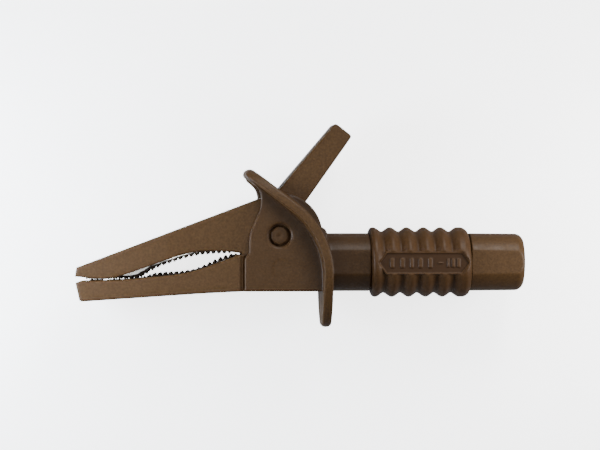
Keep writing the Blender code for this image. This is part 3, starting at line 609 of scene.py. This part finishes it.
def paint_tooth_shade(obj, table, outward):
    """Paints shade on the teeth: a dark colour where they stand in one another's shade, reaching further
    where the rows overlap.
    """
    x, y, _ = design_points(obj)
    depth = (tip_line(x, table) - y) * outward
    reach = np.interp(x, (-27.0, -25.4, -23.4, -22.0), (0.78, 1.15, 1.15, 0.78))
    mark(obj, "painted_tooth_shade", np.clip((reach - depth) / 0.1, 0, 1) * (x < -6.4))


# ---------------------------------------------------------------- grip and barrel


def rib_radius(x):
    """Round crests; the last one is wider than the rest."""
    last_x = RIB_FIRST_X + RIB_PITCH * (RIB_COUNT - 1)
    x = np.where(x > last_x, np.maximum(x - 0.6, last_x), x)
    wave = 0.5 + 0.5 * np.cos(math.tau * (x - RIB_FIRST_X) / RIB_PITCH)
    return RIB_VALLEY_R + (RIB_CREST_R - RIB_VALLEY_R) * (wave + 1e-6) ** 0.8


def panel_outline():
    """Outline of the panel: a bar with pointed ends."""
    x0, x1 = PANEL_X
    half, shoulder = PANEL_HALF_HEIGHT, 1.5
    points = [(x1, 0), (x1 - shoulder, half), (x0 + shoulder, half)]
    points += [(x0, 0), (x0 + shoulder, -half), (x1 - shoulder, -half)]
    return [(x, y + PANEL_Y) for x, y in points]


def grip(x, y, z):
    """The ribbed sleeve, with a bordered panel on both sides."""
    radius = np.hypot(y - AXIS_Y, z)
    along_x = x + SLEEVE_LEAN * (y - AXIS_Y)
    ribs = (radius - rib_radius(along_x)) * 0.8
    middle, half = sum(SLEEVE_X) / 2, (SLEEVE_X[1] - SLEEVE_X[0]) / 2
    ribs = rounded(ribs, np.abs(along_x - middle) - half, 0.4)
    outline = polygon(x, y, panel_outline())
    block = rounded(outline, np.abs(z) - PANEL_Z, 0.08)
    above = np.maximum(outline - 0.05, PANEL_Z - np.abs(z))
    body = carve(0.08, unite(0.2, ribs, block), above)
    field = np.maximum(outline + PANEL_BORDER, PANEL_Z - PANEL_DEPTH - np.abs(z))
    body = carve(0.05, body, field)
    body = unite(0.05, body, *panel_bars(x, y, z))
    return carve(0.1, body, radius - SLEEVE_BORE_R)


def panel_bars(x, y, z):
    """Plain raised bars in the panel: a row of wide ones, a dash, and a row of narrow ones."""
    bars = []
    for centre, half_width, half_height in PANEL_BARS:
        flat = rounded(np.abs(x - centre) - half_width, np.abs(y - PANEL_Y) - half_height, 0.1)
        bars.append(rounded(flat, np.abs(z) - PANEL_Z + 0.05, 0.05))
    return bars


def paint_cheek_shade(obj):
    """Paints shade on the cheeks as a darker colour: a little all over, and more towards the guard, where the
    guard shades them.
    """
    x, y, z = design_points(obj)
    away = polyline(x, y, guard_line()) - GUARD_T / 2
    near = (away > 0.1) & (np.abs(z) < CHEEK_OUT + 0.3)
    mark(obj, "inset_and_painted_shade", (0.3 + 0.5 * np.clip(1 - away / 4.5, 0, 1)) * near)


def mark_panel(obj):
    """Marks the sunk field of each panel."""
    x, y, z = design_points(obj)
    sunk = (polygon(x, y, panel_outline()) < -PANEL_BORDER + 0.05) & (np.abs(z) < PANEL_Z - PANEL_DEPTH / 2)
    outside = np.abs(z) > PANEL_Z - PANEL_DEPTH * 1.5
    mark(obj, "inset_and_painted_shade", (sunk & outside).astype(np.float32))


def barrel(x, y, z):
    """The rear barrel, with its rounded end and the recess for a plug's sleeve."""
    radius = np.hypot(y - AXIS_Y, z)
    taper = np.interp(x, (SLEEVE_X[1], BARREL_END_X), (5.3, 5.22))
    front_x = SLEEVE_X[1] + 0.1
    end_cap = np.maximum(x - BARREL_END_X, front_x - x - 1.6)
    rear = np.maximum(rounded(radius - taper, end_cap, 1.6), front_x - x)
    front = tube(x, y, z, WAIST_R, TUBE_END_X + 0.1, 40, 0.1)
    body = smooth_max(unite(0.05, rear, front), np.abs(z) - BARREL_FLAT + 0.04, 0.08)
    bore = tube(x, y, z, TUBE_BORE_R, 22.7, 50, 0.05)
    return carve(0.25, body, bore)


# ---------------------------------------------------------------- materials


def tree_of(name):
    """A new material, its node tree and its shader."""
    material = bpy.data.materials.new(name)
    material.use_nodes = True
    tree = material.node_tree
    return material, tree, tree.nodes["Principled BSDF"]


def noise(tree, scale, detail=2.0, stretch=(1, 1, 1)):
    """Noise that is fixed to the piece itself."""
    coords = tree.nodes.new("ShaderNodeTexCoord")
    mapping = tree.nodes.new("ShaderNodeMapping")
    mapping.inputs["Scale"].default_value = stretch
    made = tree.nodes.new("ShaderNodeTexNoise")
    made.inputs["Scale"].default_value = scale
    made.inputs["Detail"].default_value = detail
    tree.links.new(coords.outputs["Object"], mapping.inputs["Vector"])
    tree.links.new(mapping.outputs["Vector"], made.inputs["Vector"])
    return made.outputs["Fac"]


def ramp(tree, source, low, high, start=0.3, end=0.7):
    """A colour between two others, by a number."""
    made = tree.nodes.new("ShaderNodeValToRGB")
    made.color_ramp.elements[0].position = start
    made.color_ramp.elements[1].position = end
    made.color_ramp.elements[0].color = (*low, 1)
    made.color_ramp.elements[1].color = (*high, 1)
    tree.links.new(source, made.inputs["Fac"])
    return made.outputs["Color"]


def remap(tree, source, low, high):
    """A number between two others, by the noise's usual range."""
    made = tree.nodes.new("ShaderNodeMapRange")
    made.inputs["From Min"].default_value = 0.3
    made.inputs["From Max"].default_value = 0.7
    made.inputs["To Min"].default_value = low
    made.inputs["To Max"].default_value = high
    tree.links.new(source, made.inputs["Value"])
    return made.outputs["Result"]


def bump(tree, shader, source, depth, strength):
    """Fine relief, in metres."""
    made = tree.nodes.new("ShaderNodeBump")
    made.inputs["Distance"].default_value = depth
    made.inputs["Strength"].default_value = strength
    tree.links.new(source, made.inputs["Height"])
    tree.links.new(made.outputs["Normal"], shader.inputs["Normal"])


def share(tree, name, shade, colour):
    """A second colour, mixed in by the share that a mesh stores under that name."""
    attribute = tree.nodes.new("ShaderNodeAttribute")
    attribute.attribute_name = name
    mix = tree.nodes.new("ShaderNodeMix")
    mix.data_type = "RGBA"
    mix.inputs["B"].default_value = (*colour, 1)
    tree.links.new(attribute.outputs["Fac"], mix.inputs["Factor"])
    tree.links.new(shade, mix.inputs["A"])
    return mix.outputs["Result"]


def brown_plastic(name, low, high, roughness, grain, inset_and_painted_shade=None):
    """Moulded nylon with a fine spark-eroded grain, and a second colour by a stored share: painted shade on
    the body, a panel's own colour on the grip.
    """
    material, tree, shader = tree_of(name)
    shade = ramp(tree, noise(tree, 2600, 3), low, high)
    if inset_and_painted_shade:
        shade = share(tree, "inset_and_painted_shade", shade, inset_and_painted_shade)
    tree.links.new(shade, shader.inputs["Base Color"])
    rough = remap(tree, noise(tree, 900, 3), roughness - 0.05, roughness + 0.06)
    tree.links.new(rough, shader.inputs["Roughness"])
    bump(tree, shader, noise(tree, 3600, 2), 0.00004, grain)
    shader.inputs["Specular IOR Level"].default_value = 0.17
    return material


def metal(name, colour, roughness, stretch, grain, painted_shade=None):
    """Plated or drawn metal with faint drawing lines, and a dark painted shade where a mesh marks it."""
    material, tree, shader = tree_of(name)
    shader.inputs["Metallic"].default_value = 1.0
    dark = tuple(c * 0.86 for c in colour)
    shade = ramp(tree, noise(tree, 700, 4, stretch), dark, colour)
    if painted_shade:
        shade = share(tree, "painted_tooth_shade", shade, painted_shade)
    tree.links.new(shade, shader.inputs["Base Color"])
    rough = remap(tree, noise(tree, 1500, 2, stretch), roughness, roughness + 0.12)
    tree.links.new(rough, shader.inputs["Roughness"])
    bump(tree, shader, noise(tree, 3000, 2, stretch), 0.00002, grain)
    return material


# ---------------------------------------------------------------- pieces


def build_plastic(brown, grip_brown):
    """The moulded pieces, each standing for its packed shell."""
    body = moulded("housing_moulding", HOUSING, housing, (-11, -17.2, -8.2), (20.2, 12, 8.2), 0.2,
                   brown, ["pivot_housing"])
    # Painted shade on the cheeks, deepest beside the guard.
    paint_cheek_shade(body)
    moulded("lower_jaw_moulding", HOUSING, lower_jaw, (-38, -12.3, -6), (-3.4, -3.2, 6), 0.2, brown,
            ["lower_jaw_shell"])
    moulded("lever_moulding", LEVER, lever_moulding, (-38, -8.3, -4.4), (14, 21.2, 4.4), 0.2, brown,
            ["lever_shell"])
    sleeve = moulded("ribbed_grip", HOUSING, grip, (16.5, AXIS_Y - 6.6, -6.6), (35.6, AXIS_Y + 6.6, 6.6),
                     0.15, grip_brown, ["grip_sleeve"])
    mark_panel(sleeve)
    moulded("rear_barrel", HOUSING, barrel, (20, AXIS_Y - 5.4, -5.4), (45.5, AXIS_Y + 5.4, 5.4), 0.16,
            brown, ["socket_barrel"])


def build_blades(nickel):
    """The two stamped blades."""
    lower = moulded("lower_blade_stamping", HOUSING, lower_blade, (-35.8, -11, -3.2), (14, -3, 3.2), 0.11,
                    nickel, ["lower_jaw_blade"])
    upper = moulded("upper_blade_stamping", LEVER, upper_blade, (-36, -8.3, -3.2), (2.6, 3.8, 3.2), 0.11,
                    nickel, ["upper_jaw_blade"])
    # Painted shade on the teeth of both blades.
    paint_tooth_shade(lower, LOWER_TEETH, 1)
    paint_tooth_shade(upper, UPPER_TEETH, -1)


def build_pivot(brown):
    """A flanged boss with a dimple in its face, in the recess of each cheek."""
    flange = [(4.82, 0), (4.82, 1.98), (4.9, 1.98), (4.93, 1.7), (5.0, 1.62)]
    face = [(5.32, 1.58), (5.42, 1.48), (5.47, 1.3), (5.5, 0.8), (5.5, 0.45), (5.44, 0.32), (5.42, 0)]
    profile = flange + face
    for side, name in ((1, "near"), (-1, "far")):
        boss = turned(f"pivot_boss_{name}", HOUSING, [(side * z, r) for z, r in profile], brown,
                      [f"pivot_cap_{name}"], "Z", sides=64)
        # Painted shade on each boss, where it sits deep in its recess.
        mark(boss, "inset_and_painted_shade", np.full(len(boss.data.vertices), BOSS_PAINTED_SHADE))


def spring_path():
    """Centre line of the wire: up the lever, round the coil, and down to the housing's floor."""
    start, end = SPRING_LEG_ANGLE + 90, SPRING_FOOT_ANGLE + 270
    sweep = end - start + 360 * COIL_TURNS
    height = COIL_PITCH * sweep / 360
    tip = polar(11.7, SPRING_LEG_ANGLE, polar(COIL_R, start))
    toe = polar(1.6, 49.9, tip)
    heel = polar(8.0, SPRING_FOOT_ANGLE, polar(COIL_R, end))
    turns = [(*polar(COIL_R, start + sweep * i / 120), height * (i / 120 - 0.5)) for i in range(121)]
    leg = [(*toe, -height / 2), (*tip, -height / 2)]
    foot = [(*heel, height / 2), (heel[0] + 1.8, heel[1], height / 2)]
    return leg + turns + foot, height


def wire(name, path, radius):
    """A round wire's mesh along a path."""
    curve = bpy.data.curves.new(name, "CURVE")
    curve.dimensions = "3D"
    curve.bevel_depth = radius
    curve.bevel_resolution = 3
    curve.use_fill_caps = True
    spline = curve.splines.new("POLY")
    spline.points.add(len(path) - 1)
    for point, place in zip(spline.points, path):
        point.co = (*place, 1)
    bent = bpy.data.objects.new(name, curve)
    mesh = bpy.data.meshes.new_from_object(bent)
    bpy.data.objects.remove(bent)
    mesh.shade_smooth()
    mesh.set_sharp_from_angle(angle=math.radians(50))
    return mesh


def build_spring(steel):
    """The torsion spring's wire in its rest shape: its leg runs up the lever and its foot lies in the
    housing.
    """
    path, height = spring_path()
    mesh = wire("torsion_spring_wire", path, WIRE_R)
    mesh.transform(Matrix.Translation(PIVOT) @ Matrix.Scale(MM, 4))
    obj = bpy.data.objects.new("torsion_spring_wire", mesh)
    bpy.context.scene.collection.objects.link(obj)
    mesh.materials.append(steel)
    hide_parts("torsion_spring")
    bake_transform(obj)


def repaint(materials):
    """CAD nodes whose shape is right stay, with a better material."""
    for name, material in materials.items():
        node = frame["nodes"][name]
        node.data.materials.clear()
        node.data.materials.append(material)


# ---------------------------------------------------------------- stage


def area_light(name, place, target, size, power, colour=(1, 1, 1)):
    """A round lamp that the camera can't see."""
    data = bpy.data.lights.new(name, "AREA")
    data.shape = "DISK"
    data.size = size
    data.energy = power
    data.color = colour
    lamp = bpy.data.objects.new(name, data)
    lamp.location = place
    lamp.visible_camera = False
    lamp.rotation_euler = (Vector(target) - Vector(place)).to_track_quat("-Z", "Y").to_euler()
    bpy.context.scene.collection.objects.link(lamp)


def sheet(name, height, glow):
    """A pale sheet that glows, as it would on a lit table. It throws no diffuse light on the clip."""
    material, tree, shader = tree_of(name)
    shade = ramp(tree, noise(tree, 60, 3), *PAPER)
    tree.links.new(shade, shader.inputs["Base Color"])
    shader.inputs["Roughness"].default_value = 0.9
    shader.inputs["Emission Color"].default_value = (1, 1, 1, 1)
    shader.inputs["Emission Strength"].default_value = glow
    bpy.ops.mesh.primitive_plane_add(size=3, location=(0, 0, height))
    obj = bpy.context.object
    obj.name = name
    obj.data.materials.append(material)
    obj.visible_diffuse = False
    return obj


def floor():
    """The white floor, and a dimmer sheet under it that only the clip's gloss sees."""
    sheet("floor", -0.0005, FLOOR_GLOW).visible_glossy = False
    reflected = sheet("reflected_sheet", -0.0015, REFLECTED_GLOW)
    reflected.visible_camera = False
    reflected.visible_shadow = False


def stage():
    """The floor, the dim surroundings and the lamps."""
    floor()
    world = bpy.data.worlds.new("studio")
    world.use_nodes = True
    world.node_tree.nodes["Background"].inputs["Color"].default_value = (1, 1, 1, 1)
    world.node_tree.nodes["Background"].inputs["Strength"].default_value = SURROUNDINGS
    bpy.context.scene.world = world
    area_light("above", (0, 0, 0.6), (0, 0, 0), 0.12, 0.55)
    area_light("key", (0.1, 0.27, 0.19), (0, 0, 0), 0.14, 1.25)
    area_light("front", (-0.03, -0.3, 0.12), (0, 0, 0), 0.2, 0.12)
    area_light("right", (0.088, 0, 0.046), (0.03, 0, 0), 0.04, 0.08)
    area_light("left", (-0.09, 0, 0.05), (-0.03, 0, 0), 0.05, 0.176, (0.95, 1.05, 1.2))


def camera():
    """Straight down on the clip's side, from slightly towards its jaws."""
    distance, tilt = 0.533, math.radians(4.6)
    target = PIVOT + Vector((4.1, 1.95, 0)) * MM
    data = bpy.data.cameras.new("camera")
    data.sensor_width = 36
    data.lens = 174
    data.clip_start = 0.01
    obj = bpy.data.objects.new("camera", data)
    obj.location = target + Vector((-math.sin(tilt), 0, math.cos(tilt))) * distance
    obj.rotation_euler = (0, -tilt, 0)
    bpy.context.scene.collection.objects.link(obj)
    bpy.context.scene.camera = obj


def main():
    """Makes the materials, the pieces and the stage."""
    # The body's second colour is painted shade; the grip's is its panel field's own colour.
    brown = brown_plastic("brown_nylon", *BODY_BROWNS, roughness=0.46, grain=0.7, inset_and_painted_shade=CHEEK_PAINTED_SHADE)
    grip_brown = brown_plastic("brown_grip_nylon", *GRIP_BROWNS, roughness=0.48, grain=0.4, inset_and_painted_shade=PANEL_BROWN)
    nylon = brown_plastic("natural_nylon", *NATURAL_NYLONS, roughness=0.5, grain=0.2)
    nickel = metal("nickel_plate", NICKEL, roughness=0.2, stretch=(1, 6, 6), grain=0.15)
    # The blades' dark second colour is painted shade on the teeth.
    blade_nickel = metal("blade_nickel", BRIGHT_NICKEL, roughness=0.24, stretch=(1, 6, 6), grain=0.1,
                         painted_shade=TEETH_PAINTED_SHADE)
    steel = metal("spring_steel", STEEL, roughness=0.26, stretch=(1, 1, 8), grain=0.2)
    build_plastic(brown, grip_brown)
    build_blades(blade_nickel)
    build_pivot(brown)
    build_spring(steel)
    repaint({"socket_contact": nickel, "tail_rivet_front": nickel, "tail_rivet_rear": nickel,
             "lower_blade_screw": steel, "upper_blade_screw": steel, "pivot_pin": steel,
             "contact_lock_washer": steel, "spring_bush": nylon, "socket_post": brown})
    stage()
    camera()


main()
